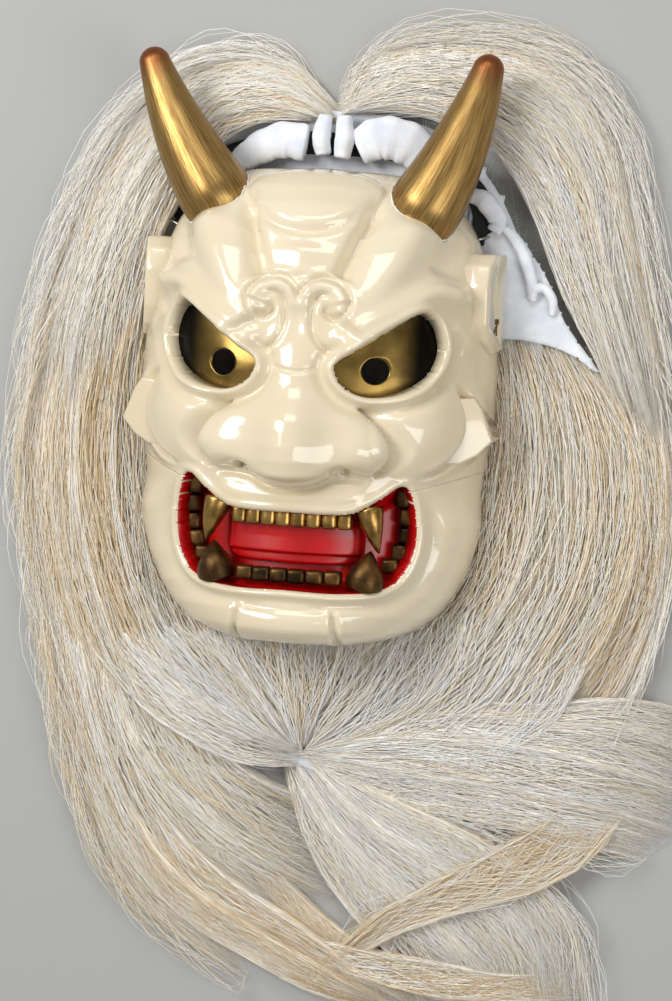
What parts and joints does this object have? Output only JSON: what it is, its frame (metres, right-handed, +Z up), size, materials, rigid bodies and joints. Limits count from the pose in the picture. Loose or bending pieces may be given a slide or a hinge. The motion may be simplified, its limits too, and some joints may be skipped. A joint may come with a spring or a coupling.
{
  "type": "noh mask",
  "caption": "Horned demon dance mask of lacquered wood with gilt horns and teeth, on a cotton cap with long white hair, lying on its back.",
  "frame": {"origin": "on the surface that the wig lies on, under the middle of the face", "axes": "+Z up out of the face, +Y towards the forehead and horns, +X towards the mask's own left cheek"},
  "size_m": [0.2942, 0.4174, 0.094],
  "materials": {
    "lacquer": "gloss ivory lacquer over gesso on carved wood",
    "red_lacquer": "gloss vermilion lacquer",
    "plain_wood": "bare",
    "gilt": "gold leaf, rubbed",
    "gilt_horn": "brushed gold over vermilion lacquer",
    "dark_gilt": "tarnished",
    "brass_sheet": "polished, worn",
    "steel_wire": "bright wire",
    "cotton": "plain weave, washed",
    "black_elastic": "woven elastic",
    "white_hair": "long animal hair, combed"
  },
  "bodies": {
    "mask_and_wig": {"face_shell": "lacquer", "jaw_shell": "lacquer", "jaw_dowels": "plain_wood", "mouth_lining": "red_lacquer", "tongue": "red_lacquer", "upper_teeth": "gilt", "lower_teeth": "gilt", "left_horn": "gilt_horn", "right_horn": "gilt_horn", "left_eye_plate": "brass_sheet", "right_eye_plate": "brass_sheet", "upper_left_fang": "gilt", "upper_right_fang": "gilt", "lower_left_fang": "gilt", "lower_right_fang": "gilt", "left_molars": "dark_gilt", "right_molars": "dark_gilt", "left_loop": "cotton", "right_loop": "cotton", "head_strap": "black_elastic", "cap_back": "cotton", "cap_fold_left": "cotton", "cap_fold_right": "cotton", "centre_loop": "cotton", "side_panel": "cotton", "side_strip": "cotton", "side_loop": "cotton", "bib_cloth": "cotton", "back_hair": "white_hair", "bib_hair": "white_hair", "crown_hair_left": "white_hair", "crown_hair_right": "white_hair", "side_hair_left": "white_hair", "side_hair_right": "white_hair", "outer_lock_left": "white_hair", "outer_lock_right": "white_hair", "lower_lock_left": "white_hair", "lower_lock_right": "white_hair"},
    "left_ring_body": {"left_ring": "steel_wire"},
    "right_ring_body": {"right_ring": "steel_wire"}
  },
  "joints": [
    {"name": "left_ring_swing", "type": "hinge", "parent": "mask_and_wig", "child": "left_ring_body", "pos_m": [0.0665, 0.08, 0.0209], "axis": [0.9586, 0.2849, 0], "range_deg": [-12, 12]},
    {"name": "right_ring_swing", "type": "hinge", "parent": "mask_and_wig", "child": "right_ring_body", "pos_m": [-0.0665, 0.08, 0.0209], "axis": [-0.9586, 0.2849, 0], "range_deg": [-12, 12]}
  ]
}
